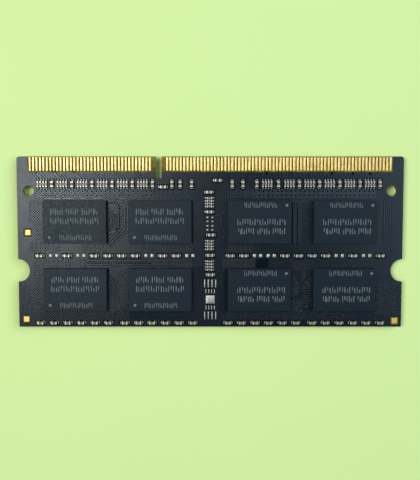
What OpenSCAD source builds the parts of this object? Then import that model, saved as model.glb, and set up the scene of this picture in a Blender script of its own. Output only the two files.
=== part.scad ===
// Small-outline memory module: 204 edge contacts, eight memory packages on each face.
// The board lies flat. X runs along the contact edge, +Y points at the contacts, +Z out of the front face.
// Millimetres. Origin: below the middle of the board, level with the outer faces of the back packages.

/* [Board] */
// Length along the contact edge
board_l = 67.6; // [67.4:0.1:68.6]
// Width from the plain edge to the contact edge
board_w = 30; // [30:0.1:30.6]
// Thickness over both solder masks
board_t = 1.0; // [0.9:0.05:1.4]
// Radius of the two corners at the contact edge
corner_r = 0.5; // [0.2:0.1:1]
// Thickness of the glass-fibre core
core_t = 0.5; // [0.3:0.05:0.6]
// Thickness of each inner copper plane
plane_t = 0.035; // [0.018:0.001:0.05]
// Distance from every edge to the inner planes
plane_inset = 0.5; // [0.3:0.1:0.8]
// Thickness of each solder mask
mask_t = 0.05; // [0.02:0.01:0.06]

/* [Contact edge] */
// Distance between contact centres
contact_pitch = 0.6; // [0.58:0.01:0.6]
// Width of one contact
contact_w = 0.45; // [0.35:0.01:0.5]
// How far the contacts reach in from the edge
contact_reach = 2.55; // [2:0.05:2.6]
// Bare laminate between the contacts and the edge
contact_setback = 0.1; // [0:0.05:0.3]
// Copper and gold thickness of a contact
contact_t = 0.04; // [0.02:0.01:0.06]
// Contacts per face on the short side of the key
short_count = 36; // [30:1:36]
// Contacts per face on the long side of the key
long_count = 66; // [60:1:66]
// Centre of the key notch, from the middle of the board
key_x = -9; // [-9.2:0.1:-8.8]
// Width of the key notch
key_w = 1.0; // [0.8:0.05:1.2]
// Depth of the key notch, to the bottom of its round end
key_d = 4.0; // [3:0.1:4]
// Distance from the key centre to the nearest contact centres
key_gap = 1.5; // [1.2:0.1:1.5]
// Bare laminate around the whole row of contacts
window_margin = 0.15; // [0.1:0.05:0.3]

/* [Holes and latch notches] */
// Radius of the two round holes
hole_r = 0.9; // [0.7:0.05:1]
// Distance of each hole from its end of the board
hole_inset = 2.0; // [1.8:0.1:2.2]
// Distance of the holes from the contact edge
hole_back = 6.0; // [5.8:0.1:6.2]
// Ring of bare laminate around each hole
hole_rim = 0.08; // [0.05:0.01:0.3]
// Radius of the half-round latch notches
latch_r = 2.0; // [1.8:0.1:2.1]
// Distance of the latch notches from the plain edge
latch_y = 10; // [9.5:0.1:10.5]

/* [Memory packages] */
// Package length, along the board
dram_w = 11; // [10:0.1:11]
// Package width, across the board
dram_d = 7.5; // [7:0.1:8]
// Package height over its solder balls
dram_h = 1.1; // [1:0.05:1.2]
// Height of the soldered balls
ball_h = 0.3; // [0.2:0.01:0.35]
// Radius of the soldered balls
ball_r = 0.2; // [0.15:0.01:0.25]
// Distance between ball centres
ball_pitch = 0.8; // [0.75:0.01:0.8]
// Thickness of the package substrate
substrate_t = 0.2; // [0.15:0.01:0.3]
// Size of the silicon die inside
die_size = [8.4, 5.6]; // [4:0.1:9]
// Thickness of the silicon die
die_t = 0.25; // [0.1:0.01:0.3]

/* [Chip capacitors and resistors] */
// Length over both metal ends
chip_l = 1.0; // [0.9:0.05:1.1]
// Width
chip_w = 0.5; // [0.4:0.05:0.55]
// Height of a capacitor
capacitor_h = 0.5; // [0.3:0.05:0.6]
// Height of a single resistor
resistor_h = 0.35; // [0.25:0.05:0.45]
// Length of each metal end
chip_end = 0.27; // [0.15:0.01:0.3]

/* [Resistor arrays] */
// Length along its row of four terminals
array_l = 2.0; // [1.9:0.05:2.05]
// Width over the terminals
array_w = 1.0; // [0.9:0.05:1.1]
// Height
array_h = 0.4; // [0.3:0.05:0.5]
// Distance between terminal centres
array_pitch = 0.5; // [0.48:0.01:0.5]
// Width of one terminal
terminal_w = 0.3; // [0.25:0.01:0.35]
// Depth of one terminal, in from the array's side
terminal_d = 0.24; // [0.15:0.01:0.25]

/* [Solder] */
// Thickness of a tinned land, copper included
land_t = 0.065; // [0.065:0.005:0.09]
// How far a land reaches out past its part
land_out = 0.33; // [0.2:0.01:0.35]
// How far a land reaches in under its part
land_in = 0.25; // [0.2:0.01:0.25]
// How much wider than the part a chip's land is
land_side = 0.08; // [0:0.01:0.1]
// Height that solder climbs up a part, as a share of the part's height
fillet_rise = 0.7; // [0.4:0.05:0.9]
// How far a fillet reaches out, as a share of the land outside its part
fillet_reach = 0.8; // [0.5:0.05:1]

/* [Configuration memory] */
// Body of the eight-terminal package on the back face
spd_size = [2.0, 3.0]; // [2:0.1:3]
// Height over its terminals
spd_h = 0.55; // [0.5:0.05:0.8]
// Thickness of its terminals and thermal pad
spd_lead_t = 0.1; // [0.05:0.01:0.15]
// Distance between its terminal centres
spd_pitch = 0.5; // [0.45:0.01:0.5]

/* [Hidden] */
$fn = 48;

// heights, from the outer faces of the back packages upwards
board_z = dram_h;
back_z = board_z + mask_t;
laminate_t = board_t - 2 * mask_t;
front_z = back_z + laminate_t;
prepreg_t = (laminate_t - core_t) / 2;
core_z = back_z + prepreg_t;
mould_t = dram_h - ball_h - substrate_t;

// centres of the end contacts
first_short_x = key_x - key_gap - contact_pitch * (short_count - 1);
first_long_x = key_x + key_gap;
last_long_x = first_long_x + contact_pitch * (long_count - 1);

// places on the board: X from its middle, Y from its plain edge
dram_x = [-23.6, -8.75, 8.65, 23.55];
dram_y = [18.6, 6.7];
top_row_y = 25.18;
middle_row_y = 12.62;
bottom_row_y = 0.7;
centre_x = -0.12;
group_pitch = 3.51;
chip_pitch = 2.4;
left_row_x = -29.98;
right_row_x = 3.56;

array_places = concat(
    [for (i = [0 : 5]) [-29.36 + group_pitch * i, top_row_y, 0]],
    [[9.95, top_row_y, 0]],
    [for (i = [0 : 4]) [13.82 + group_pitch * i, top_row_y, 0]],
    [for (y = [22.03, 14.53, 10.93]) [centre_x, y, 90]]
);
capacitor_places = concat(
    [for (i = [0 : 5]) [-27.62 + group_pitch * i, top_row_y, 90]],
    [for (x = [-6.69, -5.24, -3.24, 3.86, 5.73, 8.15, 11.93]) [x, top_row_y, 90]],
    [for (i = [0 : 4]) [15.59 + group_pitch * i, top_row_y, 90]],
    [for (i = [0, 2, 4, 5, 6, 7, 9, 10]) [left_row_x + chip_pitch * i, middle_row_y, 0]],
    [for (i = [0, 1, 4, 5, 6, 7, 9, 11]) [right_row_x + chip_pitch * i, middle_row_y, 0]],
    [for (x = [left_row_x, -15.09, 3.15, 18.01], i = [0 : 5]) [x + chip_pitch * i, bottom_row_y, 0]],
    [[-8.22, 24.7, 0], [-0.19, 23.78, 0], [-0.15, 20.35, 0]],
    [[0.13, 16.3, 0], [0, 12.72, 0], [0.05, 9.28, 0]]
);
resistor_places = [[1.3, 25.84, 0]];
empty_places = concat(
    [for (i = [1, 3, 8, 11]) [left_row_x + chip_pitch * i, middle_row_y, 0]],
    [for (i = [2, 3, 8, 10]) [right_row_x + chip_pitch * i, middle_row_y, 0]]
);
// bare land pairs in the centre column: small and close together
small_pair_places = [for (y = [19.36, 18.66, 17.88, 17.18]) [-0.04, y]];
small_pair_half_gap = 0.43;
small_land = [0.4, 0.4];

// footprint of the configuration memory
spd_place = [0, 4.85];
spd_lead = [0.25, 0.45];
spd_thermal = [1.7, 1.6];
spd_thermal_pad = [1.5, 1.4];
wide_pitch = 0.65;
wide_land = [0.3, 1.5];
wide_row = 2.86;
narrow_land = [0.25, 0.84];
narrow_row = 1.46;

// gold-plated squares: X, Y, side
gold_squares = [[-32.03, 16.72, 1.0], [-32.53, 1.33, 1.05], [32.63, 1.02, 1.1]];
square_rim = 0.16;

// ---- placing ----

// puts its children on the front face of the laminate, growing outwards
module on_front() {
    translate([0, 0, front_z]) children();
}

// puts its children on the back face of the laminate, growing outwards
module on_back() {
    translate([0, 0, back_z]) mirror([0, 0, 1]) children();
}

// moves to a place given as X, Y from the plain edge, and turns there
module at(place) {
    translate([place[0], place[1] - board_w / 2]) rotate(len(place) > 2 ? place[2] : 0) children();
}

module at_each(places) {
    for (place = places) at(place) children();
}

module both_sides(distance) {
    for (side = [-1, 1]) translate([side * distance, 0]) children();
}

// ---- board outlines ----

// every opening through the board, each wall moved outwards by grow
module openings_2d(grow = 0) {
    both_sides(board_l / 2 - hole_inset)
        translate([0, board_w / 2 - hole_back]) circle(hole_r + grow);
    both_sides(board_l / 2)
        translate([0, latch_y - board_w / 2]) circle(latch_r + grow);
    translate([key_x, board_w / 2 - key_d + key_w / 2]) {
        circle(key_w / 2 + grow);
        translate([-key_w / 2 - grow, 0]) square([key_w + 2 * grow, key_d]);
    }
}

module outline_2d() {
    difference() {
        union() {
            translate([-board_l / 2, -board_w / 2]) square([board_l, board_w - corner_r]);
            translate([corner_r - board_l / 2, 0]) square([board_l - 2 * corner_r, board_w / 2]);
            both_sides(board_l / 2 - corner_r)
                translate([0, board_w / 2 - corner_r]) circle(corner_r);
        }
        openings_2d();
    }
}

module plane_2d() {
    difference() {
        square([board_l - 2 * plane_inset, board_w - 2 * plane_inset], center = true);
        openings_2d(plane_inset);
    }
}

// ---- lands and contacts ----

module chip_lands_2d() {
    both_sides(chip_l / 2 + (land_out - land_in) / 2)
        square([land_out + land_in, chip_w + 2 * land_side], center = true);
}

// four children in a row along X, each turned for its own side of the array
module array_each() {
    for (side = [0, 180], i = [-1.5 : 1.5])
        rotate(side) translate([array_pitch * i, array_w / 2]) children();
}

module array_lands_2d() {
    array_each()
        translate([-terminal_w / 2, -land_in]) square([terminal_w, land_out + land_in]);
}

// two rows of four lands facing each other
module eight_lands_2d(pitch, row, land) {
    for (side = [-1, 1], i = [-1.5 : 1.5])
        translate([pitch * i, side * row]) square(land, center = true);
}

module shared_lands_2d() {
    at_each(capacitor_places) chip_lands_2d();
    at_each(resistor_places) chip_lands_2d();
    at_each(empty_places) chip_lands_2d();
    at_each(array_places) array_lands_2d();
    at_each(small_pair_places) both_sides(small_pair_half_gap) square(small_land, center = true);
    at(spd_place) {
        eight_lands_2d(spd_pitch, narrow_row, narrow_land);
        square(spd_thermal, center = true);
    }
}

// the front footprint also takes a wider package, and is left empty
module front_lands_2d() {
    shared_lands_2d();
    at(spd_place) eight_lands_2d(wide_pitch, wide_row, wide_land);
}

module gold_squares_2d(grow = 0) {
    for (s = gold_squares) at([s[0], s[1]]) square(s[2] + 2 * grow, center = true);
}

module contacts_2d(first_x, count) {
    for (i = [0 : count - 1])
        translate([first_x + contact_pitch * i - contact_w / 2, board_w / 2 - contact_reach])
            square([contact_w, contact_reach - contact_setback]);
}

module short_contacts() {
    linear_extrude(contact_t) contacts_2d(first_short_x, short_count);
}

module long_contacts() {
    linear_extrude(contact_t) contacts_2d(first_long_x, long_count);
}

// bare strip of laminate that carries the contacts
module contact_window_2d() {
    past_centre = contact_w / 2 + window_margin;
    window_w = contact_reach + window_margin;
    translate([first_short_x - past_centre, board_w / 2 - window_w])
        square([last_long_x - first_short_x + 2 * past_centre, window_w]);
}

// ---- board ----

module core_laminate() {
    color("#8a8250") translate([0, 0, core_z]) linear_extrude(core_t) outline_2d();
}

// an outer laminate layer, with the pocket that its inner plane fills
module prepreg() {
    color("#948b55") difference() {
        linear_extrude(prepreg_t) outline_2d();
        linear_extrude(plane_t) plane_2d();
    }
}

module prepreg_front() {
    translate([0, 0, core_z + core_t]) prepreg();
}

module prepreg_back() {
    translate([0, 0, core_z]) mirror([0, 0, 1]) prepreg();
}

module ground_plane() {
    color("#b87333") translate([0, 0, core_z + core_t]) linear_extrude(plane_t) plane_2d();
}

module power_plane() {
    color("#b87333") translate([0, 0, core_z - plane_t]) linear_extrude(plane_t) plane_2d();
}

// children are the lands that the mask leaves open
module solder_mask() {
    color("#27313b") linear_extrude(mask_t) difference() {
        outline_2d();
        both_sides(board_l / 2 - hole_inset)
            translate([0, board_w / 2 - hole_back]) circle(hole_r + hole_rim);
        contact_window_2d();
        gold_squares_2d(square_rim);
        children();
    }
}

module solder_mask_front() {
    on_front() solder_mask() front_lands_2d();
}

module solder_mask_back() {
    on_back() solder_mask() shared_lands_2d();
}

module contacts_front_short() {
    color("#e3c766") on_front() short_contacts();
}

module contacts_front_long() {
    color("#e3c766") on_front() long_contacts();
}

module contacts_back_short() {
    color("#e3c766") on_back() short_contacts();
}

module contacts_back_long() {
    color("#e3c766") on_back() long_contacts();
}

module gold_squares_front() {
    color("#e8d58c") on_front() linear_extrude(contact_t) gold_squares_2d();
}

module gold_squares_back() {
    color("#e8d58c") on_back() linear_extrude(contact_t) gold_squares_2d();
}

module solder_lands_front() {
    color("#b9bcbe") on_front() linear_extrude(land_t) front_lands_2d();
}

module solder_lands_back() {
    color("#b9bcbe") on_back() linear_extrude(land_t) shared_lands_2d();
}

// ---- memory packages ----

// numbers 1 to 4 run along the row next to the contacts, 5 to 8 along the plain edge
function dram_place(number) = [dram_x[(number - 1) % 4], dram_y[floor((number - 1) / 4)]];

module dram_die_block() {
    linear_extrude(die_t) square(die_size, center = true);
}

// moulded cap, hollow underneath where the die sits
module dram_mould(number) {
    color("#2f3840") at(dram_place(number)) translate([0, 0, mask_t + ball_h + substrate_t])
        difference() {
            linear_extrude(mould_t) square([dram_w, dram_d], center = true);
            dram_die_block();
        }
}

module dram_front(number) {
    on_front() dram_mould(number);
}

module dram_back(number) {
    on_back() dram_mould(number);
}

module dram_substrates() {
    color("#2c4a3a") for (number = [1 : 8])
        at(dram_place(number)) translate([0, 0, mask_t + ball_h])
            linear_extrude(substrate_t) square([dram_w, dram_d], center = true);
}

module dram_substrates_front() {
    on_front() dram_substrates();
}

module dram_substrates_back() {
    on_back() dram_substrates();
}

module dram_dies() {
    color("#5c6670") for (number = [1 : 8])
        at(dram_place(number)) translate([0, 0, mask_t + ball_h + substrate_t]) dram_die_block();
}

module dram_dies_front() {
    on_front() dram_dies();
}

module dram_dies_back() {
    on_back() dram_dies();
}

// 13 rows of balls along the package, three columns on each side of its middle
module ball_grid_2d() {
    for (column = [2 : 4], side = [-1, 1], row = [-6 : 6])
        translate([ball_pitch * row, ball_pitch * column * side]) circle(ball_r);
}

module solder_balls() {
    color("#c3c6c8") translate([0, 0, mask_t]) linear_extrude(ball_h)
        for (number = [1 : 8]) at(dram_place(number)) ball_grid_2d();
}

module solder_balls_front() {
    on_front() solder_balls();
}

module solder_balls_back() {
    on_back() solder_balls();
}

// ---- chip capacitors, resistors and arrays ----

module chip_bodies(places, height, tint) {
    color(tint) translate([0, 0, land_t]) linear_extrude(height)
        at_each(places) square([chip_l - 2 * chip_end, chip_w], center = true);
}

module chip_ends(places, height) {
    color("#c9c9c4") translate([0, 0, land_t]) linear_extrude(height)
        at_each(places) both_sides((chip_l - chip_end) / 2) square([chip_end, chip_w], center = true);
}

module capacitor_bodies() {
    chip_bodies(capacitor_places, capacitor_h, "#8c7f63");
}

module capacitor_bodies_front() {
    on_front() capacitor_bodies();
}

module capacitor_bodies_back() {
    on_back() capacitor_bodies();
}

module capacitor_ends_front() {
    on_front() chip_ends(capacitor_places, capacitor_h);
}

module capacitor_ends_back() {
    on_back() chip_ends(capacitor_places, capacitor_h);
}

module resistor_bodies() {
    chip_bodies(resistor_places, resistor_h, "#1c1d20");
}

module resistor_bodies_front() {
    on_front() resistor_bodies();
}

module resistor_bodies_back() {
    on_back() resistor_bodies();
}

module resistor_ends_front() {
    on_front() chip_ends(resistor_places, resistor_h);
}

module resistor_ends_back() {
    on_back() chip_ends(resistor_places, resistor_h);
}

module array_bodies() {
    color("#24262a") translate([0, 0, land_t]) linear_extrude(array_h)
        at_each(array_places) square([array_l, array_w - 2 * terminal_d], center = true);
}

module array_bodies_front() {
    on_front() array_bodies();
}

module array_bodies_back() {
    on_back() array_bodies();
}

module array_terminals() {
    color("#c9c9c4") translate([0, 0, land_t]) linear_extrude(array_h)
        at_each(array_places) array_each()
            translate([-terminal_w / 2, -terminal_d]) square([terminal_w, terminal_d]);
}

module array_terminals_front() {
    on_front() array_terminals();
}

module array_terminals_back() {
    on_back() array_terminals();
}

// ---- solder ----

// a wedge of solder that climbs from a land up a part's end; the end face is at y = 0
module fillet(width, height) {
    rise = fillet_rise * height;
    reach = fillet_reach * land_out;
    translate([-width / 2, 0, land_t]) rotate([90, 0, 90])
        linear_extrude(width) polygon([[0, 0], [reach, 0], [0, rise]]);
}

module chip_fillets(height) {
    for (side = [-90, 90]) rotate(side) translate([0, chip_l / 2]) fillet(chip_w, height);
}

module solder_fillets() {
    color("#b4b7b9") {
        at_each(capacitor_places) chip_fillets(capacitor_h);
        at_each(resistor_places) chip_fillets(resistor_h);
        at_each(array_places) array_each() fillet(terminal_w, array_h);
    }
}

module solder_fillets_front() {
    on_front() solder_fillets();
}

module solder_fillets_back() {
    on_back() solder_fillets();
}

// ---- configuration memory, on the back face ----

module spd_terminals_2d() {
    for (side = [-1, 1], i = [-1.5 : 1.5])
        translate([spd_pitch * i, side * (spd_size[1] - spd_lead[1]) / 2])
            square(spd_lead, center = true);
    square(spd_thermal_pad, center = true);
}

module spd_terminals() {
    color("#c9c9c4") on_back() at(spd_place) translate([0, 0, land_t])
        linear_extrude(spd_lead_t) spd_terminals_2d();
}

module spd_body() {
    color("#1f2226") on_back() at(spd_place) translate([0, 0, land_t + spd_lead_t])
        linear_extrude(spd_h - spd_lead_t) square(spd_size, center = true);
}

core_laminate();
prepreg_front();
prepreg_back();
ground_plane();
power_plane();
solder_mask_front();
solder_mask_back();
contacts_front_short();
contacts_front_long();
contacts_back_short();
contacts_back_long();
gold_squares_front();
gold_squares_back();
solder_lands_front();
solder_lands_back();
for (i = [1 : 8]) dram_front(i);
for (i = [1 : 8]) dram_back(i);
dram_substrates_front();
dram_substrates_back();
dram_dies_front();
dram_dies_back();
solder_balls_front();
solder_balls_back();
capacitor_bodies_front();
capacitor_bodies_back();
capacitor_ends_front();
capacitor_ends_back();
resistor_bodies_front();
resistor_bodies_back();
resistor_ends_front();
resistor_ends_back();
array_bodies_front();
array_bodies_back();
array_terminals_front();
array_terminals_back();
solder_fillets_front();
solder_fillets_back();
spd_body();
spd_terminals();
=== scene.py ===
import math

import bpy
import numpy as np
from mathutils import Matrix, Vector


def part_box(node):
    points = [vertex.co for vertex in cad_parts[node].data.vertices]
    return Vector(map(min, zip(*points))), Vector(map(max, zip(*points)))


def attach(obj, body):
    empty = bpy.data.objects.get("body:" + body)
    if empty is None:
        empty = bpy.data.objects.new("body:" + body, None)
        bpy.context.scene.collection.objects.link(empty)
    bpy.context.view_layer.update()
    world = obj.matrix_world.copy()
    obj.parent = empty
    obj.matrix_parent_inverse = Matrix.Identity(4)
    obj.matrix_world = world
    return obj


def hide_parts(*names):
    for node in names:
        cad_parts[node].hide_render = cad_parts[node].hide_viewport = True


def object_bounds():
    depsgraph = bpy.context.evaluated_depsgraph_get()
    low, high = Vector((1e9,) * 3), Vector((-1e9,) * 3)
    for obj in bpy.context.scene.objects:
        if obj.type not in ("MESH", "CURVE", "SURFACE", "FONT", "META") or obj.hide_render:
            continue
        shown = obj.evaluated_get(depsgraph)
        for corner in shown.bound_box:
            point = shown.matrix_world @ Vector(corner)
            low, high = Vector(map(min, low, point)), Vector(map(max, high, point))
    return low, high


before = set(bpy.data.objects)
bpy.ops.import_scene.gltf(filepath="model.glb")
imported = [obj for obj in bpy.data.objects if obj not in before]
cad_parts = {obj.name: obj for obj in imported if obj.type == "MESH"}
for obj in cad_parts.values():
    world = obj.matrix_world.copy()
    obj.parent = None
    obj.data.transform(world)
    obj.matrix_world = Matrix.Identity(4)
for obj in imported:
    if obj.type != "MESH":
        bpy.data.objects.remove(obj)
CAD_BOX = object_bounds()

# The frame is in metres. This script works in millimetres, and Side.world converts.
MM = 0.001
SIDES = ("front", "back")


# ---------------------------------------------------------------- the frame, in millimetres

def box_mm(node):
    """(x0, y0, x1, y1) of a CAD node, in millimetres."""
    low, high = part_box(node)
    return (low.x / MM, low.y / MM, high.x / MM, high.y / MM)


class Side:
    """One face of the board. Points on it are (x, y, h), with h the height above the bare laminate."""

    def __init__(self, name):
        low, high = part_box("solder_mask_" + name)
        self.name = name
        self.up = 1 if name == "front" else -1
        self.base = (low.z if name == "front" else high.z) / MM
        self.mask_top = (high.z - low.z) / MM
        self.chips = [box_mm(f"dram_{name}_{i}") for i in range(1, 9)]

    def world(self, point):
        x, y, h = point
        return (x * MM, y * MM, (self.base + self.up * h) * MM)

    def height(self, z):
        return (z / MM - self.base) * self.up

    def islands(self, node):
        """The separate solids of a CAD node, as lists of corner points (x, y, h)."""
        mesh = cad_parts[node].data
        corners = {}
        same = []
        for v in mesh.vertices:
            key = tuple(round(c / MM, 4) for c in v.co)
            same.append(corners.setdefault(key, len(corners)))
        parent = list(range(len(corners)))

        def find(i):
            while parent[i] != i:
                parent[i] = parent[parent[i]]
                i = parent[i]
            return i

        for face in mesh.polygons:
            first = find(same[face.vertices[0]])
            for index in face.vertices[1:]:
                parent[find(same[index])] = first
        groups = {}
        for (x, y, z), i in corners.items():
            groups.setdefault(find(i), []).append((x, y, (z - self.base) * self.up))
        return [np.array(g) for g in groups.values()]

    def blocks(self, node):
        """(low corner, high corner) of each separate solid of a CAD node."""
        return [(g.min(0), g.max(0)) for g in self.islands(node)]


class Piece:
    """Collects the faces of one visible piece on one side of the board."""

    def __init__(self, side):
        self.side = side
        self.points = []
        self.faces = []

    def add(self, points, faces):
        start = len(self.points)
        self.points += [self.side.world(p) for p in points]
        turn = self.side.up > 0
        for face in faces:
            ids = [start + i for i in face]
            self.faces.append(ids if turn else ids[::-1])

    def slab(self, outline, low, high):
        """A flat plate with a convex outline, counter-clockwise seen from outside the face."""
        n = len(outline)
        points = [(x, y, low) for x, y in outline] + [(x, y, high) for x, y in outline]
        sides = [[i, (i + 1) % n, n + (i + 1) % n, n + i] for i in range(n)]
        self.add(points, [list(range(n))[::-1], list(range(n, 2 * n))] + sides)

    def loft(self, rings):
        """A closed skin through rings of (x, y, h) points, capped at both ends."""
        n = len(rings[0])
        points = [p for ring in rings for p in ring]
        faces = [list(range(n))[::-1]]
        for k in range(len(rings) - 1):
            a, b = k * n, (k + 1) * n
            faces += [[a + i, a + (i + 1) % n, b + (i + 1) % n, b + i] for i in range(n)]
        last = (len(rings) - 1) * n
        faces.append(list(range(last, last + n)))
        self.add(points, faces)

    def block(self, low, high, grow=(0, 0, 0)):
        (x0, y0, h0), (x1, y1, h1) = low, high
        gx, gy, gh = grow
        outline = rectangle(x0 - gx, y0 - gy, x1 + gx, y1 + gy)
        self.slab(outline, h0, h1 + gh)

    def make(self, name, material, slot, replaces=(), smooth=False, bevel=0.0, segments=2):
        mesh = bpy.data.meshes.new(name)
        mesh.from_pydata(self.points, [], self.faces)
        mesh.validate()
        mesh.materials.append(material)
        if smooth:
            mesh.shade_smooth()
        piece = bpy.data.objects.new(name, mesh)
        bpy.context.scene.collection.objects.link(piece)
        if bevel:
            rounding = piece.modifiers.new("rounding", "BEVEL")
            rounding.width = bevel * MM
            rounding.segments = segments
            rounding.limit_method = "ANGLE"
            rounding.harden_normals = True
            rounding.use_clamp_overlap = True
            mesh.shade_smooth()
        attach(piece, "root")
        if replaces:
            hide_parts(*replaces)
        return piece


# ---------------------------------------------------------------- outlines

def rectangle(x0, y0, x1, y1):
    return [(x0, y0), (x1, y0), (x1, y1), (x0, y1)]


def rounded_rectangle(x0, y0, x1, y1, radius, steps=3):
    """A rectangle with quarter-circle corners, counter-clockwise."""
    radius = min(radius, (x1 - x0) / 2 - 1e-4, (y1 - y0) / 2 - 1e-4)
    corners = [(x1 - radius, y0 + radius, -90), (x1 - radius, y1 - radius, 0),
               (x0 + radius, y1 - radius, 90), (x0 + radius, y0 + radius, 180)]
    outline = []
    for cx, cy, start in corners:
        for k in range(steps + 1):
            a = math.radians(start + 90 * k / steps)
            outline.append((cx + radius * math.cos(a), cy + radius * math.sin(a)))
    return outline


def disc(x, y, radius, steps=16):
    turns = [2 * math.pi * k / steps for k in range(steps)]
    return [(x + radius * math.cos(a), y + radius * math.sin(a)) for a in turns]


def chord(outline, a, b, c):
    """Where the line a * x + b * y = c crosses a convex outline."""
    ends = []
    for p, q in zip(outline, outline[1:] + outline[:1]):
        dp = a * p[0] + b * p[1] - c
        dq = a * q[0] + b * q[1] - c
        if (dp <= 0) != (dq <= 0):
            t = dp / (dp - dq)
            ends.append((p[0] + t * (q[0] - p[0]), p[1] + t * (q[1] - p[1])))
    return ends


# ---------------------------------------------------------------- materials

class Shader:
    """A node material with one Principled shader, and short names for the nodes it is built from."""

    def __init__(self, name, **numbers):
        self.material = bpy.data.materials.new(name)
        self.material.use_nodes = True
        self.tree = self.material.node_tree
        self.shader = self.tree.nodes["Principled BSDF"]
        self.place = self.node("ShaderNodeTexCoord").outputs["Object"]
        for key, value in numbers.items():
            self.shader.inputs[key.replace("_", " ")].default_value = value

    def node(self, kind, **settings):
        made = self.tree.nodes.new(kind)
        for key, value in settings.items():
            setattr(made, key, value)
        return made

    def link(self, a, b):
        self.tree.links.new(a, b)

    def noise(self, size_mm, detail=3.0, stretch=(1, 1, 1)):
        """Noise with features of about size_mm, as a 0 to 1 value."""
        mapping = self.node("ShaderNodeMapping")
        mapping.inputs["Scale"].default_value = [1 / (MM * size_mm * s) for s in stretch]
        self.link(self.place, mapping.inputs["Vector"])
        noise = self.node("ShaderNodeTexNoise")
        noise.inputs["Scale"].default_value = 1.0
        noise.inputs["Detail"].default_value = detail
        self.link(mapping.outputs["Vector"], noise.inputs["Vector"])
        return noise.outputs["Fac"]

    def ramp(self, value, stops):
        """Colours by value: stops are (position, (r, g, b))."""
        ramp = self.node("ShaderNodeValToRGB")
        while len(ramp.color_ramp.elements) < len(stops):
            ramp.color_ramp.elements.new(0.5)
        for element, (position, colour) in zip(ramp.color_ramp.elements, stops):
            element.position = position
            element.color = (*colour, 1)
        self.link(value, ramp.inputs["Fac"])
        return ramp.outputs["Color"]

    def spread(self, value, low, high):
        """Maps the middle half of a noise value to low..high."""
        mapped = self.node("ShaderNodeMapRange")
        mapped.inputs["From Min"].default_value = 0.3
        mapped.inputs["From Max"].default_value = 0.7
        mapped.inputs["To Min"].default_value = low
        mapped.inputs["To Max"].default_value = high
        self.link(value, mapped.inputs["Value"])
        return mapped.outputs["Result"]

    def shade_by_slope(self, shade_colour, level, steepest):
        """Painted shade: a darker colour where the surface slopes away, the surface's own colour where it
        lies flat.
        """
        flattest = 0.985
        geometry = self.node("ShaderNodeNewGeometry")
        split = self.node("ShaderNodeSeparateXYZ")
        self.link(geometry.outputs["Normal"], split.inputs["Vector"])
        upright = self.node("ShaderNodeMath", operation="ABSOLUTE")
        self.link(split.outputs["Z"], upright.inputs[0])
        share = self.node("ShaderNodeMapRange")
        share.inputs["From Min"].default_value = steepest
        share.inputs["From Max"].default_value = flattest
        self.link(upright.outputs["Value"], share.inputs["Value"])
        mix = self.node("ShaderNodeMix", data_type="RGBA")
        mix.inputs["A"].default_value = (*shade_colour, 1)
        self.link(share.outputs["Result"], mix.inputs["Factor"])
        self.link(level, mix.inputs["B"])
        return mix.outputs["Result"]

    def colour(self, output):
        self.link(output, self.shader.inputs["Base Color"])

    def roughness(self, output):
        self.link(output, self.shader.inputs["Roughness"])

    def bump(self, value, depth_mm, strength=1.0):
        bump = self.node("ShaderNodeBump")
        bump.inputs["Strength"].default_value = strength
        bump.inputs["Distance"].default_value = depth_mm * MM
        self.link(value, bump.inputs["Height"])
        self.link(bump.outputs["Normal"], self.shader.inputs["Normal"])


def lacquer(name, dark, light, rough, shine):
    """Solder mask: a thin coloured lacquer, slightly uneven, over the board's weave."""
    s = Shader(name, Specular_IOR_Level=shine, Specular_Tint=(0.80, 0.92, 1.0, 1.0))
    s.colour(s.ramp(s.noise(2.5), [(0.3, dark), (0.7, light)]))
    s.roughness(s.spread(s.noise(0.9), rough - 0.015, rough + 0.03))
    s.bump(s.noise(0.8, detail=1), 0.0012, 0.5)
    return s.material


def moulded(name, dark, light, rough, shine):
    """Black epoxy with a fine grain and a few lighter specks."""
    s = Shader(name, Specular_IOR_Level=shine, Specular_Tint=(0.80, 0.94, 1.0, 1.0))
    speck = [c * 1.5 for c in light]
    s.colour(s.ramp(s.noise(0.14, detail=5), [(0.3, dark), (0.55, light), (0.8, speck)]))
    s.roughness(s.spread(s.noise(0.5), rough - 0.05, rough + 0.06))
    s.bump(s.noise(0.09, detail=4), 0.004, 0.5)
    return s.material


def metal(name, dull, bright, rough, grain_mm=0.25, stretch=(1, 1, 1), depth=0.002, flank_shade=None,
          steepest=0.94):
    """A plated or soldered metal surface with uneven tone and gloss; its sloping flanks can get a darker
    colour as painted shade.
    """
    s = Shader(name, Metallic=1.0)
    tone = s.ramp(s.noise(grain_mm, stretch=stretch), [(0.3, dull), (0.65, bright)])
    if flank_shade:
        # Painted shade: sloping flanks take the darker flank colour instead of the metal's tone.
        tone = s.shade_by_slope(flank_shade, tone, steepest)
    s.colour(tone)
    s.roughness(s.spread(s.noise(grain_mm * 0.6, stretch=stretch), rough - 0.08, rough + 0.12))
    s.bump(s.noise(grain_mm * 0.4, detail=2, stretch=stretch), depth, 0.6)
    return s.material


def laminate(name):
    """Bare glass-fibre board: thin layers of woven fibre in yellow resin, seen on its cut edges too."""
    s = Shader(name, Specular_IOR_Level=0.15)
    resin, weave, fibre = (0.08, 0.055, 0.004), (0.15, 0.115, 0.008), (0.24, 0.195, 0.018)
    layers = s.noise(0.09, detail=2, stretch=(12, 12, 1))
    s.colour(s.ramp(layers, [(0.35, resin), (0.5, weave), (0.65, fibre)]))
    s.roughness(s.spread(s.noise(0.3), 0.5, 0.7))
    s.bump(s.noise(0.08, detail=3, stretch=(3, 3, 1)), 0.006, 0.6)
    return s.material


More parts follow.
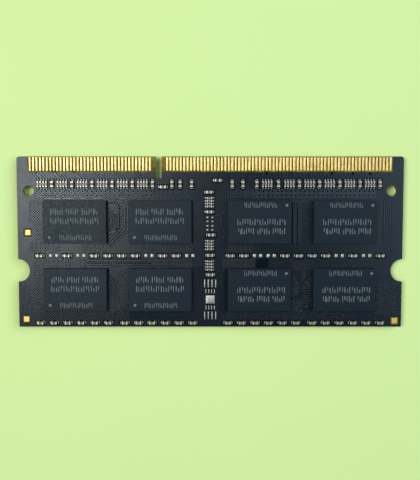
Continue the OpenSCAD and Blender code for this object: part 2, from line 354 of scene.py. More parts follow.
def ceramic(name, dark, light, rough, grain_mm=0.5):
    """A hard, fine-grained surface: ceramic, glaze, print or silicon."""
    s = Shader(name, Specular_IOR_Level=0.4)
    s.colour(s.ramp(s.noise(grain_mm, detail=4), [(0.3, dark), (0.7, light)]))
    s.roughness(s.spread(s.noise(0.2), rough - 0.05, rough + 0.1))
    s.bump(s.noise(0.05, detail=3), 0.002, 0.5)
    return s.material


MASK = lacquer("solder_mask", (0.0016, 0.0046, 0.0100), (0.0026, 0.0064, 0.0125), 0.29, 0.27)
MASK_RAISED = lacquer("solder_mask_over_copper", (0.0080, 0.0130, 0.0200), (0.0120, 0.0180, 0.0260),
                      0.29, 0.46)
# Lacquer in the gaps and hollows between copper: near black and almost without gloss, partly the bare
# laminate under it and partly painted shade for the hollows.
MASK_SHADE_IN_HOLLOWS = lacquer("solder_mask_in_gaps", (0.0002, 0.0006, 0.0020), (0.0004, 0.0009, 0.0028), 0.45, 0.01)
MASK_BARE = lacquer("solder_mask_over_laminate", (0.0014, 0.0036, 0.0080), (0.0020, 0.0050, 0.0100),
                    0.32, 0.06)
# The flank colours of the metals below are painted shade on their sloping sides.
GOLD = metal("contact_gold", (0.50, 0.355, 0.125), (0.60, 0.455, 0.185), 0.35, grain_mm=0.8,
             stretch=(1, 3, 1), depth=0.0004, flank_shade=(0.085, 0.045, 0.012))
GOLD_SOFT = metal("pad_gold", (0.54, 0.41, 0.13), (0.66, 0.53, 0.20), 0.46,
                  depth=0.001, flank_shade=(0.16, 0.10, 0.02))
SOLDER = metal("solder", (0.24, 0.24, 0.21), (0.44, 0.44, 0.39), 0.42, grain_mm=0.3,
               depth=0.006, flank_shade=(0.05, 0.05, 0.045), steepest=0.85)
TIN = metal("tin_plating", (0.34, 0.33, 0.28), (0.52, 0.51, 0.44), 0.44, grain_mm=0.15,
            flank_shade=(0.09, 0.09, 0.08), steepest=0.80)
COPPER = metal("copper_foil", (0.50, 0.22, 0.11), (0.72, 0.36, 0.20), 0.40)
FIBRE = laminate("glass_fibre")
MOULD = moulded("mould_compound", (0.0025, 0.0070, 0.0140), (0.0045, 0.0105, 0.0190), 0.42, 0.19)
MARK = moulded("laser_mark", (0.105, 0.125, 0.135), (0.150, 0.175, 0.185), 0.60, 0.20)
ARRAY_MARK = ceramic("printed_mark", (0.40, 0.41, 0.37), (0.56, 0.57, 0.52), 0.6)
SUBSTRATE = lacquer("package_substrate", (0.010, 0.022, 0.016), (0.016, 0.032, 0.022), 0.4, 0.4)
SILICON = ceramic("silicon", (0.10, 0.11, 0.13), (0.14, 0.15, 0.17), 0.3)
CAPACITOR = ceramic("capacitor_ceramic", (0.10, 0.085, 0.045), (0.20, 0.165, 0.095), 0.45, grain_mm=2.5)
RESISTOR = ceramic("resistor_glaze", (0.008, 0.009, 0.011), (0.016, 0.017, 0.020), 0.35)


def paint(nodes, material):
    """Gives carried-over CAD nodes a material."""
    for name in nodes:
        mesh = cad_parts[name].data
        mesh.materials.clear()
        mesh.materials.append(material)


# ---------------------------------------------------------------- pieces

def contact_strip(piece, low, high):
    """A gold contact: crowned across its width, round at its inner end, rolled off at the board's edge."""
    (x0, y0, h0), (x1, y1, h1) = low, high
    half, mid = (x1 - x0) / 2, (x0 + x1) / 2
    # outline across the contact, as shares of its half width and of its height
    crown = [(u, 1.04 - 0.2 * u * u) for u in (-0.45, -0.25, -0.08, 0.08, 0.25, 0.45)]
    profile = [(-1, 0), (1, 0), (1, 0.06), (0.74, 0.45)] + crown[::-1] + [(-0.74, 0.45), (-1, 0.06)]
    # each end: distance from the end, and shares of the full width and height
    inner = [(0, 0.45, 0.5), (0.03, 0.72, 0.8), (0.09, 0.92, 0.96), (0.18, 1, 1)]
    outer = [(0.7, 1, 1), (0.35, 1, 0.93), (0.16, 1, 0.8), (0.06, 0.98, 0.62), (0, 0.95, 0.4)]
    stations = [(y0 + t, w, k) for t, w, k in inner] + [(y1 - t, w, k) for t, w, k in outer]
    rings = []
    for y, width, lift in stations:
        rings.append([(mid + half * width * u, y, h0 + (h1 - h0) * lift * v) for u, v in profile])
    piece.loft([ring[::-1] for ring in rings])


def domed_pad(piece, low, high, dome, radius=0.08):
    """A tinned or plated land whose metal swells towards its middle."""
    (x0, y0, h0), (x1, y1, h1) = low, high
    small = min(x1 - x0, y1 - y0)
    # inset as a share of the smaller side, and height as a share of the land's thickness
    rings = [(0, 0), (0, 0.75), (0.08, 1)]
    rings += [(0.08 + 0.3 * t, 1 + math.sin(t * math.pi / 2) * dome / (h1 - h0)) for t in (0.25, 0.55, 1)]
    loft = []
    for inset, lift in rings:
        d = inset * small
        outline = rounded_rectangle(x0 + d, y0 + d, x1 - d, y1 - d, max(radius - d / 2, 0.02))
        loft.append([(x, y, h0 + (h1 - h0) * lift) for x, y in outline])
    piece.loft(loft)


def rimmed_pad(piece, low, high, rim=0.06):
    """A plated square with a sloping rim round its flat middle."""
    (x0, y0, h0), (x1, y1, h1) = low, high
    loft = []
    for inset, lift in ((0, 0), (0, 0.1), (rim, 1), (rim + 0.03, 1.06), (rim + 0.2, 1.1)):
        outline = rounded_rectangle(x0 + inset, y0 + inset, x1 - inset, y1 - inset, 0.1)
        loft.append([(x, y, h0 + (h1 - h0) * lift) for x, y in outline])
    piece.loft(loft)


def solder_fillet(piece, corners):
    """A concave fillet in place of a CAD wedge: high against the part, thin at the land's edge."""
    low, high = corners.min(0), corners.max(0)
    top = corners[corners[:, 2] > high[2] - 1e-3].mean(0)
    middle = (low + high) / 2
    along = 0 if abs(top[0] - middle[0]) > abs(top[1] - middle[1]) else 1
    across = 1 - along
    start = top[along]
    reach = (low[along] if top[along] > middle[along] else high[along]) - start
    half = (high[across] - low[across]) / 2
    rise = high[2] - low[2]
    rings = []
    film, sunk = 0.006, -0.04
    # share of the height at each part of the way from the metal end to the edge of the land
    slope = [(-0.15, 1.0), (0.06, 0.9), (0.16, 0.62), (0.3, 0.36), (0.48, 0.17), (0.66, 0.05),
             (0.76, 0.035), (1.0, 0.03), (1.12, 0.01)]
    for t, share in slope:
        h = rise * share + film
        w = half * (1.08 + 0.12 * min(max(t, 0), 0.6) - 0.3 * max(t - 0.8, 0))
        ring = [(-w, sunk)]
        ring += [(w * u, h * (1 - 0.35 * abs(u) ** 3)) for u in (-1, -0.6, 0, 0.6, 1)]
        ring += [(w, sunk)]
        points = []
        for side, height in ring:
            p = [0, 0, low[2] + height]
            p[along] = start + reach * t
            p[across] = middle[across] + side
            points.append(tuple(p))
        rings.append(points)
    flip = (reach > 0) == (along == 0)
    piece.loft([ring[::-1] for ring in rings] if flip else rings)


def solder_ball(piece, low, high):
    """A solder ball flattened between its two lands."""
    x, y = (low[0] + high[0]) / 2, (low[1] + high[1]) / 2
    neck, belly = 0.78, 1.12
    radius = (high[0] - low[0]) / 2
    rings = []
    for t in (0, 0.17, 0.38, 0.62, 0.83, 1):
        bulge = math.sin(math.pi * t) ** 0.6 if 0 < t < 1 else 0
        r = radius * (neck + (belly - neck) * bulge)
        rings.append([(px, py, low[2] + t * (high[2] - low[2])) for px, py in disc(x, y, r, 10)])
    piece.loft(rings)


def build_contacts(side):
    for group in ("short", "long"):
        node = f"contacts_{side.name}_{group}"
        piece = Piece(side)
        for low, high in side.blocks(node):
            contact_strip(piece, low, high)
        piece.make(f"gold_contacts_{side.name}_{group}", GOLD, "gold", [node], smooth=True)
    node = "gold_squares_" + side.name
    piece = Piece(side)
    for low, high in side.blocks(node):
        rimmed_pad(piece, low, high)
    piece.make("plated_squares_" + side.name, GOLD_SOFT, "gold", [node], smooth=True)


def build_solder(side):
    lands = "solder_lands_" + side.name
    fillets = "solder_fillets_" + side.name
    covered = np.array([g.mean(0)[:2] for g in side.islands(fillets)])
    piece = Piece(side)
    for low, high in side.blocks(lands):
        inside = ((covered > low[:2]) & (covered < high[:2])).all(1).any()
        domed_pad(piece, low, high, 0.0 if inside else 0.04)
    for corners in side.islands(fillets):
        solder_fillet(piece, corners)
    piece.make("solder_joints_" + side.name, SOLDER, "solder", [lands, fillets], smooth=True)

    balls = "solder_balls_" + side.name
    piece = Piece(side)
    for low, high in side.blocks(balls):
        solder_ball(piece, low, high)
    piece.make("package_balls_" + side.name, SOLDER, "solder", [balls], smooth=True)


def mark_array(piece, low, high):
    """Four printed slanted ticks on a resistor array."""
    cx, cy = (low[0] + high[0]) / 2, (low[1] + high[1]) / 2
    along = 0 if high[0] - low[0] > high[1] - low[1] else 1
    spacing, long, thick, lean, film = 0.46, 0.17, 0.06, 0.10, 0.004
    for k in (-1.5, -0.5, 0.5, 1.5):
        corners = [(-thick - lean, -long), (thick - lean, -long), (thick + lean, long), (lean - thick, long)]
        outline = [(cx + spacing * k + u, cy + v) for u, v in corners]
        if along:
            outline = [(cx - v, cy + spacing * k + u) for u, v in corners]
        piece.slab(outline, high[2], high[2] + film)


def build_chip_parts(side):
    """Capacitors, resistors and resistor arrays: ceramic bodies between rounded metal ends."""
    kinds = [("capacitor_bodies", CAPACITOR, "capacitor_ceramic", 0.03, (0, 0, 0)),
             ("capacitor_ends", TIN, "tin_plating", 0.05, (0.012, 0.012, 0.012)),
             ("resistor_bodies", RESISTOR, "resistor_glaze", 0.02, (0, 0, 0)),
             ("resistor_ends", TIN, "tin_plating", 0.04, (0.012, 0.012, 0.012)),
             ("array_bodies", RESISTOR, "resistor_glaze", 0.03, (0, 0, 0)),
             ("array_terminals", TIN, "tin_plating", 0.04, (0.0, 0.03, 0.012))]
    for kind, material, slot, bevel, grow in kinds:
        node = f"{kind}_{side.name}"
        piece = Piece(side)
        for low, high in side.blocks(node):
            piece.block(low, high, grow)
        piece.make("chip_" + node, material, slot, [node], bevel=bevel, segments=3)
    marks = Piece(side)
    for low, high in side.blocks("array_bodies_" + side.name):
        mark_array(marks, low, high)
    marks.make("array_marks_" + side.name, ARRAY_MARK, "resistor_glaze")


def mark_bars(kind, w, h):
    """Two upright bars of uneven length in a cell of w by h, like a bar code: no letter or digit."""
    inset, wide, thin = 0.05 * w, 0.26 * w, 0.2 * w
    # from and to, as shares of the height, of the left and the right bar
    pairs = [((0, 1), (0.3, 1)), ((0, 0.7), (0, 1)), ((0.15, 1), (0, 0.6)), ((0, 1), (0, 0.8)),
             ((0.4, 1), (0, 1))]
    (a0, a1), (b0, b1) = pairs[kind % len(pairs)]
    return [(inset, a0 * h, inset + wide, a1 * h), (w - inset - thin, b0 * h, w - inset, b1 * h)]


def mark_package(piece, chip, top, turned, number):
    """The pin-one dot and three rows of abstract marks on a package."""
    x0, y0, x1, y1 = chip
    cx, cy = (x0 + x1) / 2 + 0.12, (y0 + y1) / 2 + 0.1
    sign = -1 if turned else 1
    film = 0.004

    def bar(ax, ay, bx, by):
        xs, ys = sorted((cx + sign * ax, cx + sign * bx)), sorted((cy + sign * ay, cy + sign * by))
        piece.slab(rectangle(xs[0], ys[0], xs[1], ys[1]), top, top + film)

    piece.slab(disc(cx - sign * 4.55, cy - sign * 2.8, 0.25), top, top + film)
    # middle height, bar height, left end, length, width of a cell, and the places of the cells in the row
    rows = [(1.68, 1.05, -4.3, 8.2, 0.6, [0, 1, 2, 3.45, 4.45, 5.45, 6.95, 7.95, 8.95, 9.7]),
            (0.1, 1.05, -4.35, 8.4, 0.6, range(10)),
            (-2.83, 0.92, -2.84, 5.66, 0.45, range(9))]
    for row, (y, high, start, length, wide, cells) in enumerate(rows):
        foot = y - high / 2
        for i, cell in enumerate(cells):
            x = start + (length - wide) * cell / cells[-1]
            for ax, ay, bx, by in mark_bars(3 * i + 2 * row + number // 5, wide, high):
                bar(x + ax, foot + ay, x + bx, foot + by)


def build_packages(side):
    marks = Piece(side)
    for number, chip in enumerate(side.chips, 1):
        node = f"dram_{side.name}_{number}"
        low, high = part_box(node)
        h0, h1 = sorted((side.height(low.z), side.height(high.z)))
        x0, y0, x1, y1 = chip
        piece = Piece(side)
        piece.block((x0, y0, h0), (x1, y1, h1))
        piece.make(f"package_{side.name}_{number}", MOULD, "mould_compound", [node], bevel=0.035)
        in_right_half = number in (3, 4, 7, 8)
        mark_package(marks, chip, h1, in_right_half, number)
    marks.make("package_marks_" + side.name, MARK, "mould_compound")


# ---------------------------------------------------------------- copper pattern under the mask

# How far the lacquer stands above the mask over bare laminate, gaps, copper and tented holes
BARE_LIFT = 0.002
GAP_LIFT = 0.003
COPPER_LIFT = 0.012
CROSSING_LIFT = 0.011
GROOVE_LIFT = 0.0135
TRACE_LIFT = 0.016
VIA_LIFT = 0.0145
DIMPLE_LIFT = 0.0135

# Cross-hatched copper: the distance between its lines, and their usual, thin and fine widths
HATCH_PITCH = 0.32
HATCH_LINE = 0.145
THIN_LINE = 0.11
FINE_LINE = 0.085

# Width of the clearance beside a trace, and of the sloping side of every raised line
CLEARANCE = 0.09
SLOPE = 0.03

# Rows of tented holes above the packages
HOLE_STEP = 0.8
HOLES_LEFT = 26
HOLES_RIGHT = 27
HOLE_ROWS = (0.85, 1.6)


class Artwork:
    """Copper under the mask of one face: it lifts the lacquer a little, bare areas are darker, and gaps,
    hollows and hole dimples get painted shade.
    """

    def __init__(self, side):
        self.side = side
        self.copper = Piece(side)
        self.shaded_gaps = Piece(side)
        self.dark = Piece(side)
        self.top = side.mask_top
        self.board_x0, self.board_y0, self.board_x1, self.board_y1 = box_mm("core_laminate")
        upper, lower = side.chips[:4], side.chips[4:]
        self.upper_x0 = [chip[0] for chip in upper]
        self.upper_x1 = [chip[2] for chip in upper]
        self.lower_x0 = [chip[0] for chip in lower]
        self.lower_x1 = [chip[2] for chip in lower]
        self.upper_foot, self.upper_top = upper[0][1], upper[0][3]
        self.lower_foot, self.lower_top = lower[0][1], lower[0][3]
        # the upper and lower edges of the strip that the middle row of parts stands in
        self.row_top = self.upper_foot - 1.65
        self.row_foot = self.lower_top + 1.75

    def shaded_gap(self, outline):
        # Painted shade: a near-black sheet under the hatch ridges.
        self.shaded_gaps.slab(outline, self.top, self.top + GAP_LIFT)

    def bare(self, outline, lift=BARE_LIFT):
        """An area with no copper under the lacquer, which looks darker."""
        self.dark.slab(outline, self.top, self.top + lift)

    def hatch(self, outline, directions=(1, -1), line=HATCH_LINE):
        """A cross-hatched plate: a dark ground, painted shade under wide lines and the darker bare-laminate
        lacquer under fine ones, and ridges at 45 degrees one way or both ways.
        """
        if line > FINE_LINE:
            self.shaded_gap(outline)
        else:
            self.bare(outline)
        s, shortest = math.sqrt(0.5), 0.05
        for lift, way in zip((COPPER_LIFT, CROSSING_LIFT), directions):
            a, b = s, s * way
            reach = [a * x + b * y for x, y in outline]
            for k in range(math.ceil(min(reach) / HATCH_PITCH), math.ceil(max(reach) / HATCH_PITCH)):
                ends = chord(outline, a, b, k * HATCH_PITCH)
                if len(ends) == 2 and math.dist(*ends) > shortest:
                    self.ribbon(ends, line, self.copper, lift)

    def ribbon(self, points, width, piece, lift):
        """A line with mitred corners and sloping sides, one convex solid for each straight part."""
        points = [Vector(p) for p in points]
        steps = [(q - p).normalized() for p, q in zip(points, points[1:])]
        edges = []
        for i, p in enumerate(points):
            before = steps[max(i - 1, 0)]
            after = steps[min(i, len(steps) - 1)]
            normal = Vector((-(before + after).y, (before + after).x)).normalized()
            normal /= max(normal.dot(Vector((-after.y, after.x))), 0.3)
            foot, crest = normal * (width / 2), normal * (width / 2 - SLOPE)
            edges.append((p - foot, p - crest, p + crest, p + foot))
        low, high = self.top, self.top + lift
        for start, end in zip(edges, edges[1:]):
            rings = [[(*v, h) for v, h in zip(ring, (low, high, high, low))] for ring in (end, start)]
            piece.loft(rings)

    def groove(self, points, width=0.13):
        """The clearance between two areas of copper, dark from the bare laminate under it and from painted
        shade.
        """
        self.ribbon(points, width, self.shaded_gaps, GROOVE_LIFT)

    def trace(self, points, width=0.12, clear=CLEARANCE):
        """A line of copper with a dark clearance on both sides, partly painted shade."""
        self.groove(points, width + 2 * clear)
        self.ribbon(points, width, self.copper, TRACE_LIFT)

    def via(self, x, y, outer=0.26, inner=0.16):
        """A tented hole: a raised ring round a dimple painted dark as shade."""
        steps = 12
        ring_out, ring_in = disc(x, y, outer, steps), disc(x, y, inner, steps)
        for i in range(steps):
            j = (i + 1) % steps
            sector = [ring_in[i], ring_out[i], ring_out[j], ring_in[j]]
            self.copper.slab(sector, self.top, self.top + VIA_LIFT)
        # The dimple: a flat disc painted dark as the hole's shade.
        self.shaded_gaps.slab(ring_in, self.top, self.top + DIMPLE_LIFT)


def draw_left_margin(art):
    left, x = art.board_x0, art.upper_x0[0]
    art.hatch(rectangle(left + 1.95, art.upper_top - 4.0, x, art.upper_top + 0.02))
    art.hatch(rectangle(left + 2.75, art.upper_foot + 0.5, x, art.upper_top - 4.15))
    art.hatch(rectangle(left + 1.95, art.row_top, x, art.upper_foot + 0.35))
    art.hatch(rectangle(left + 0.3, art.lower_foot - 0.05, x, art.lower_top - 2.6))
    art.hatch(rectangle(left + 2.7, art.lower_top - 2.5, x, art.row_foot))


def draw_middle_rows(art):
    """Above and below the middle row of parts."""
    a, b, c = art.upper_x0[:3]
    end_a, end_b = art.upper_x1[:2]
    above = [(a, a + 2.7), (a + 6.6, end_a - 0.1), (b, b + 3.1), (b + 4.5, end_b), (c, c + 4.3)]
    for x0, x1 in above:
        art.hatch(rectangle(x0, art.row_top, x1, art.upper_foot - 0.1))
    below = [(a, a + 4.5), (a + 6.2, a + 7.3), (b + 4.0, b + 6.8), (b + 7.2, end_b), (c - 1.0, c + 4.8)]
    for x0, x1 in below:
        art.hatch(rectangle(x0, art.lower_top, x1, art.row_foot))
    y = art.lower_top + 0.68
    art.trace([(a + 7.2, y + 0.62), (b + 3.6, y + 0.62)], 0.24, 0.1)
    art.trace([(a + 7.0, y - 0.4), (a + 7.4, y), (b + 3.7, y), (b + 4.3, y - 0.6), (b + 6.4, y - 0.6)],
              0.2, 0.1)


def draw_upper_left_gap(art):
    """Between the first two upper packages: hatching, and five traces that turn to the lower left."""
    x0, x1 = art.upper_x1[0], art.upper_x0[1]
    foot, top = art.upper_foot, art.upper_top
    art.hatch(rectangle(x0, top - 0.45, x1, top + 0.02))
    art.hatch([(x0 + 0.1, top - 1.2), (x0 + 1.8, top - 2.4), (x0 + 2.2, top - 1.6),
               (x0 + 1.9, top - 0.55), (x0 + 0.1, top - 0.55)])
    art.hatch([(x0, foot + 1.9), (x0 + 1.7, foot + 2.9), (x0 + 1.7, top - 2.7), (x0, top - 1.5)],
              line=THIN_LINE)
    art.hatch(rectangle(x0 + 2.35, foot + 2.6, x1 - 0.62, top - 0.6))
    art.trace([(x0 + 0.1, top - 1.35), (x0 + 1.95, top - 2.6), (x0 + 1.95, foot + 2.6),
               (x0 + 0.3, foot + 1.6)], 0.18)
    art.groove([(x0, top - 0.45), (x0 + 1.8, top - 0.45), (x0 + 2.25, top - 0.95), (x0 + 2.25, foot + 2.6)])
    for k in range(5):
        x, rise = x1 - 0.25 - 0.55 * k, 0.12 * k
        route = [(x, top - 1.2), (x, foot + 2.3 + rise), (x - 3.05, foot - 0.75 + rise)]
        art.trace(route if k < 2 else route[1:], 0.2)


def draw_upper_right_gap(art):
    """Between the last two upper packages: hatched on the left, dark towards the package on the right."""
    x0, x1 = art.upper_x1[2], art.upper_x0[3]
    foot, top = art.upper_foot, art.upper_top
    art.hatch(rectangle(x0, top - 0.3, x1, top + 0.28))
    art.hatch(rectangle(x0 + 0.3, foot, x0 + 1.9, top - 0.4))
    art.hatch([(x1, foot + 1.4), (x1, top - 1.0), (x1 - 1.7, top - 2.6), (x1 - 1.7, foot + 2.8)],
              line=FINE_LINE)
    art.trace([(x1, top - 0.8), (x1 - 1.8, top - 2.5), (x1 - 1.8, foot + 2.7), (x1, foot + 1.2)], 0.16, 0.04)
    art.groove([(x0 + 0.3, top - 0.4), (x0 + 0.3, foot - 0.3)], 0.16)
    art.groove([(x0 + 1.15, top - 0.6), (x0 + 1.15, foot - 0.3)], 0.16)


def draw_lower_gap(art, number, wide, narrow):
    """To the right of a lower package, counted from 0: wide hatching round a finer, outlined patch."""
    x0, x1 = art.lower_x1[number] + 0.05, art.lower_x0[number + 1]
    foot, top = art.lower_foot, art.lower_top
    art.hatch(rectangle(x0, top - 0.5, x1, art.row_foot - 0.6), line=wide)
    art.hatch(rectangle(x0 + 1.95, foot + 0.4, x1, top - 0.5), line=wide)
    art.hatch(rectangle(x0, foot - 0.1, x0 + 1.95, foot + 1.9), line=wide)
    art.hatch([(x0, foot + 2.0), (x0 + 1.7, foot + 3.3), (x0 + 1.7, top - 2.5), (x0, top - 1.1)], line=narrow)
    art.trace([(x0, top - 0.9), (x0 + 1.8, top - 2.4), (x0 + 1.8, foot + 3.2), (x0, foot + 2.0)], 0.16, 0.05)


def draw_lower_right_traces(art):
    """Three bent traces between the last two packages; a dark patch and a trace above the third."""
    x0, x1 = art.lower_x1[2], art.lower_x0[3]
    foot, top = art.lower_foot, art.lower_top
    for shift in (0, 0.5, 1.0):
        x, turn = x0 + 2.3 + shift, top - 2.6 - shift
        art.trace([(x, foot + 0.5), (x, turn), (x1 - 0.05, turn + x1 - 0.05 - x)], 0.18, 0.05)
    x = art.lower_x0[2]
    art.bare(rectangle(x + 4.9, top + 0.1, x + 7.1, top + 1.7), 2 * BARE_LIFT)
    art.trace([(x + 7.2, top + 0.1), (x + 7.9, top + 0.9), (x + 9.8, top + 0.9), (x + 10.6, top + 1.7)],
              0.22, 0.05)


def draw_centre(art):
    """The middle column: fine dark hatching, and a few short lines of copper."""
    x, foot, top = art.upper_x0[2], art.upper_foot, art.upper_top
    art.trace([(x - 0.45, top + 1.75), (x - 0.45, top - 1.2), (x - 0.1, top - 1.8)], 0.2, 0.05)
    area = rectangle(art.lower_x1[1] + 0.1, art.board_y0 + 0.4, art.lower_x0[2] - 0.2, art.lower_top + 0.4)
    art.hatch(area, (1,), line=FINE_LINE)
    art.trace([(x - 2.0, foot + 4.9), (x - 1.2, foot + 5.1), (x - 0.2, foot + 6.3)], 0.3, 0.05)
    art.trace([(x - 0.9, foot + 2.4), (x - 0.6, foot + 1.6), (x - 1.2, foot + 0.2)], 0.26, 0.05)
    art.trace([(x - 1.3, foot + 3.1), (x - 1.3, foot + 4.4)], 0.3, 0.05)


def draw_upper_strip(art):
    """Hatching above the upper packages, with short wide lines of copper on its left half."""
    top, x = art.upper_top, art.upper_x0[2]
    end_b = art.upper_x1[1]
    art.hatch(rectangle(art.board_x0 + 3.2, top + 0.04, end_b - 6.85, top + 1.95), line=0.155)
    art.hatch(rectangle(x + 4.15, top + 0.3, art.upper_x1[3], top + 1.9), line=0.2)
    art.hatch(rectangle(end_b - 6.8, top + 0.25, end_b + 0.1, top + 1.75))
    art.hatch(rectangle(x - 0.3, top + 0.3, x + 4.1, top + 1.85))
    x, y = art.upper_x0[0], top + 0.35
    for x0, x1 in ((0.1, 1.7), (2.1, 2.8), (3.3, 5.0), (6.4, 7.5), (8.6, 10.0), (13.2, 14.4)):
        art.trace([(x + x0, y), (x + x1, y)], 0.34, 0.05)


def draw_right_margin(art):
    x, foot, top = art.upper_x1[3], art.upper_foot, art.upper_top
    low_corner = rectangle(x + 0.1, art.lower_foot - 0.9, art.board_x1 - 0.6, art.lower_top - 2.6)
    art.hatch(low_corner, (1,), line=0.2)
    art.hatch(rectangle(x + 0.05, foot, x + 1.1, top))
    art.trace([(x + 1.5, foot - 0.9), (x + 1.5, top), (x + 0.9, top + 0.6)], 0.2, 0.06)
    art.trace([(x + 2.55, foot - 2.8), (x + 2.55, top), (x + 1.7, top + 0.85)], 0.2, 0.06)


def draw_foot(art):
    """Hatching one way below the lower packages, finer from the second package on."""
    x0, x1 = art.lower_x0, art.lower_x1
    for start, end, line in ((x0[0] - 1, x0[1] - 0.2, 0.19), (x0[1] - 0.1, x1[1], FINE_LINE),
                             (x0[2] - 0.1, x1[3], FINE_LINE)):
        art.hatch(rectangle(start, art.board_y0 + 1.3, end, art.lower_foot - 0.1), (-1,), line=line)


def draw_square_outlines(art):
    """A dark line round each gold square, drawn as a clearance with painted shade."""
    for low, high in art.side.blocks("gold_squares_" + art.side.name):
        (x0, y0), (x1, y1) = low[:2] - 0.2, high[:2] + 0.2
        cx = (x0 + x1) / 2
        art.groove([(cx, y0), (x1, y0), (x1, y1), (x0, y1), (x0, y0), (cx, y0)], 0.08)


def draw_dark_round_parts(art):
    """Dark lacquer round and under each small part, a little lower than the top of its lands."""
    margin, reach = 0.16, 0.9
    lands = art.side.blocks("solder_lands_" + art.side.name)
    lift = min(high[2] for low, high in lands) - art.top - 0.004
    for kind in ("capacitor_bodies_", "resistor_bodies_", "array_bodies_"):
        for low, high in art.side.blocks(kind + art.side.name):
            near = (high - low)[:2] + reach
            own = [(a, b) for a, b in lands if (abs((a + b) - (low + high))[:2] < near).all()]
            start = np.min([a for a, b in own], axis=0) - margin
            end = np.max([b for a, b in own], axis=0) + margin
            art.bare(rectangle(start[0], start[1], end[0], end[1]), lift)


def draw_hole_rows(art):
    """Tented holes between the arrays and the packages."""
    for rise in HOLE_ROWS:
        y = art.upper_top + rise
        for k in range(HOLES_LEFT):
            art.via(art.board_x0 + 3.5 + HOLE_STEP * k, y)
        for k in range(HOLES_RIGHT):
            art.via(art.upper_x0[2] + 4.6 + HOLE_STEP * k, y)


def draw_contact_traces(art):
    """Traces from the contacts to the arrays next to them, and a tented hole at every third contact."""
    contacts = []
    for group, first in (("short", 0), ("long", 1)):
        node = f"contacts_{art.side.name}_{group}"
        row = sorted(((low[0] + high[0]) / 2, low[1]) for low, high in art.side.blocks(node))
        for x, y in row[first::3]:
            art.via(x, y - 0.32, 0.2, 0.13)
        contacts += row
    for low, high in art.side.blocks("array_terminals_" + art.side.name):
        x = (low[0] + high[0]) / 2
        if low[1] > art.upper_top + 2.9:
            lean = -0.9 if x < 0 else 0.0
            cx, cy = min(contacts, key=lambda c: abs(c[0] - x - lean))
            y0, y1 = high[1] + 0.32, cy - 0.12
            jog = min(abs(cx - x), y1 - y0 - 0.2)
            turn = (y0 + y1) / 2
            art.trace([(x, y0), (x, turn - jog / 2), (cx, turn + jog / 2), (cx, y1)], 0.2, 0.05)
        elif low[1] > art.upper_top + 2:
            art.trace([(x, low[1] - 0.3), (x, art.upper_top + HOLE_ROWS[1] + 0.3)], 0.13, 0.06)


def build_artwork(side):
    art = Artwork(side)
    draw_left_margin(art)
    draw_middle_rows(art)
    draw_upper_left_gap(art)
    draw_upper_right_gap(art)
    draw_lower_gap(art, 0, HATCH_LINE, THIN_LINE)
    draw_lower_gap(art, 2, THIN_LINE, FINE_LINE)
    draw_lower_right_traces(art)
    draw_centre(art)
    draw_upper_strip(art)
    draw_right_margin(art)
    draw_foot(art)
    draw_square_outlines(art)
    draw_dark_round_parts(art)
    draw_hole_rows(art)
    draw_contact_traces(art)
    art.copper.make("mask_relief_" + side.name, MASK_RAISED, "solder_mask")
    # The gaps, hollows and dimples carry painted shade.
    art.shaded_gaps.make("mask_shaded_hollows_" + side.name, MASK_SHADE_IN_HOLLOWS, "solder_mask")
    art.dark.make("mask_dark_" + side.name, MASK_BARE, "solder_mask")


# ---------------------------------------------------------------- the module

paint(["core_laminate", "prepreg_front", "prepreg_back"], FIBRE)
paint(["ground_plane", "power_plane"], COPPER)
paint(["solder_mask_front", "solder_mask_back"], MASK)
paint(["dram_substrates_front", "dram_substrates_back"], SUBSTRATE)
paint(["dram_dies_front", "dram_dies_back"], SILICON)
paint(["spd_body"], MOULD)
paint(["spd_terminals"], TIN)

for side in [Side(name) for name in SIDES]:
    build_contacts(side)
    build_solder(side)
    build_chip_parts(side)
    build_packages(side)
    build_artwork(side)


# ---------------------------------------------------------------- studio

def build_floor():
    s = Shader("pale_floor", Specular_IOR_Level=0.1, Roughness=0.9)
    s.colour(s.ramp(s.noise(40), [(0.3, (0.69, 0.88, 0.36)), (0.7, (0.70, 0.89, 0.37))]))
    mesh = bpy.data.meshes.new("floor")
    half = 0.4
    corners = [(x, y, 0) for x, y in rectangle(-half, -half, half, half)]
    mesh.from_pydata(corners, [], [range(4)])
    mesh.materials.append(s.material)
    floor = bpy.data.objects.new("floor", mesh)
    bpy.context.scene.collection.objects.link(floor)


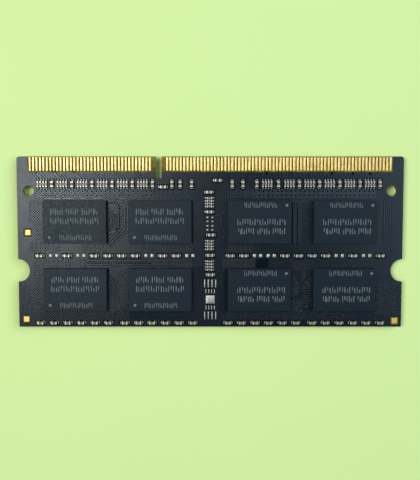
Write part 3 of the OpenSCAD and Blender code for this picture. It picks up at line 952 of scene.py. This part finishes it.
def area_light(name, place, target, size, power, colour):
    light = bpy.data.lights.new(name, "AREA")
    light.size = size
    light.energy = power
    light.color = colour
    lamp = bpy.data.objects.new(name, light)
    lamp.location = place
    lamp.rotation_euler = (Vector(target) - Vector(place)).to_track_quat("-Z", "Y").to_euler()
    bpy.context.scene.collection.objects.link(lamp)


def build_lights():
    """A warm key and a wide cool fill from above, and dim cool light all round.

    Behind the floor's far edge the camera sees a backdrop in the floor's colour instead.
    """
    area_light("key", (-0.14, 0.037, 0.36), (0, 0, 0), 0.144, 0.95, (1.0, 0.97, 0.90))
    area_light("fill", (0.235, 0.10, 0.36), (0, 0, 0), 0.34, 1.15, (0.82, 0.92, 1.0))
    world = bpy.data.worlds.new("studio")
    world.use_nodes = True
    tree = world.node_tree
    ambient = tree.nodes["Background"]
    ambient.inputs["Color"].default_value = (0.45, 0.70, 1.0, 1)
    ambient.inputs["Strength"].default_value = 0.12
    backdrop = tree.nodes.new("ShaderNodeBackground")
    backdrop.inputs["Color"].default_value = (0.62, 0.80, 0.42, 1)
    seen = tree.nodes.new("ShaderNodeLightPath")
    mix = tree.nodes.new("ShaderNodeMixShader")
    tree.links.new(seen.outputs["Is Camera Ray"], mix.inputs["Fac"])
    tree.links.new(ambient.outputs["Background"], mix.inputs[1])
    tree.links.new(backdrop.outputs["Background"], mix.inputs[2])
    tree.links.new(mix.outputs["Shader"], tree.nodes["World Output"].inputs["Surface"])
    bpy.context.scene.world = world


def build_camera():
    """Nearly straight above, leaning a little towards the contact edge."""
    low, high = CAD_BOX
    board_l = high.x - low.x
    distance, lean = 0.12, math.radians(4.0)
    view_width = 1.092 * board_l
    # the board sits slightly low in the picture
    target = Vector((-0.00003, 0.0004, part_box("solder_mask_front")[1].z))
    data = bpy.data.cameras.new("camera")
    data.sensor_fit = "HORIZONTAL"
    data.sensor_width = 36
    data.lens = data.sensor_width * distance / view_width
    data.clip_start = 0.005
    camera = bpy.data.objects.new("camera", data)
    camera.location = target + distance * Vector((0, math.sin(lean), math.cos(lean)))
    camera.rotation_euler = (-lean, 0, 0)
    bpy.context.scene.collection.objects.link(camera)
    bpy.context.scene.camera = camera


build_floor()
build_lights()
build_camera()
bpy.context.scene.view_settings.view_transform = "Standard"
